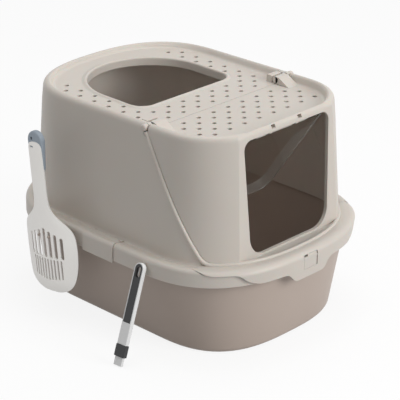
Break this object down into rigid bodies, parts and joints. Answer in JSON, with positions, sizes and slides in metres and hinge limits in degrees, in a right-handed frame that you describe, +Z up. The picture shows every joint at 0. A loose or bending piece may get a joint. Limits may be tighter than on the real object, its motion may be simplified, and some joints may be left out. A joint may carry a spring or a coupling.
{
  "type": "top entry litter box",
  "caption": "Deep cat litter pan under a hood with a perforated top, a D-shaped entry hole, a tilting front hood with a clear flap, side clips, a front latch, a scoop and a brush.",
  "frame": {"origin": "centre of the pan's flat base, on the floor", "axes": "+Z up, -Y towards the front flap and latch, +X across the box to the side without the scoop"},
  "size_m": [0.5063, 0.5588, 0.38],
  "materials": {
    "hood_plastic": "satin injection moulded polypropylene, warm beige",
    "pan_plastic": "satin injection moulded polypropylene, taupe",
    "clip_plastic": "satin injection moulded polypropylene, warm beige",
    "clear_plastic": "clear smoke-tinted polycarbonate sheet, glossy",
    "scoop_plastic": "satin off-white polypropylene",
    "grip_rubber": "soft blue-grey over-moulded elastomer",
    "brush_white": "glossy white ABS",
    "brush_black": "satin black ABS"
  },
  "bodies": {
    "pan": {"litter_pan": "pan_plastic"},
    "rear_hood": {"rear_hood": "hood_plastic", "left_hinge_pin": "hood_plastic", "right_hinge_pin": "hood_plastic", "left_clip_pin": "clip_plastic", "right_clip_pin": "clip_plastic", "scoop_hook": "hood_plastic"},
    "front_hood": {"front_hood": "hood_plastic", "flap_axle": "hood_plastic", "front_latch_pin": "clip_plastic"},
    "flap": {"flap": "clear_plastic"},
    "left_clip": {"left_side_clip": "clip_plastic"},
    "right_clip": {"right_side_clip": "clip_plastic"},
    "latch": {"front_latch": "clip_plastic"},
    "scoop": {"scoop_blade": "scoop_plastic", "scoop_grip": "grip_rubber"},
    "brush": {"brush_body": "brush_white", "brush_insert": "brush_black", "brush_band": "brush_black", "brush_tip": "brush_white"}
  },
  "joints": [
    {"name": "hood_lift", "type": "slide", "parent": "pan", "child": "rear_hood", "axis": [0, 0, 1], "range_m": [0, 0.2]},
    {"name": "front_hood_tilt", "type": "hinge", "parent": "rear_hood", "child": "front_hood", "pos_m": [0, -0.079, 0.3715], "axis": [-1, 0, 0], "range_deg": [0, 105]},
    {"name": "flap_swing", "type": "hinge", "parent": "front_hood", "child": "flap", "pos_m": [0, -0.216, 0.363], "axis": [1, 0, 0], "range_deg": [-38, 35]},
    {"name": "left_clip_turn", "type": "hinge", "parent": "rear_hood", "child": "left_clip", "pos_m": [-0.196, 0, 0.1644], "axis": [0, 1, 0], "range_deg": [0, 75]},
    {"name": "right_clip_turn", "type": "hinge", "parent": "rear_hood", "child": "right_clip", "pos_m": [0.196, 0, 0.1644], "axis": [0, -1, 0], "range_deg": [0, 75]},
    {"name": "latch_press", "type": "hinge", "parent": "front_hood", "child": "latch", "pos_m": [0, -0.2843, 0.153], "axis": [1, 0, 0], "range_deg": [0, 6]},
    {"name": "scoop_off", "type": "slide", "parent": "rear_hood", "child": "scoop", "axis": [-1, 0, 0], "range_m": [0, 0.08]},
    {"name": "brush_off", "type": "slide", "parent": "pan", "child": "brush", "axis": [-1, 0, 0], "range_m": [0, 0.1]}
  ]
}
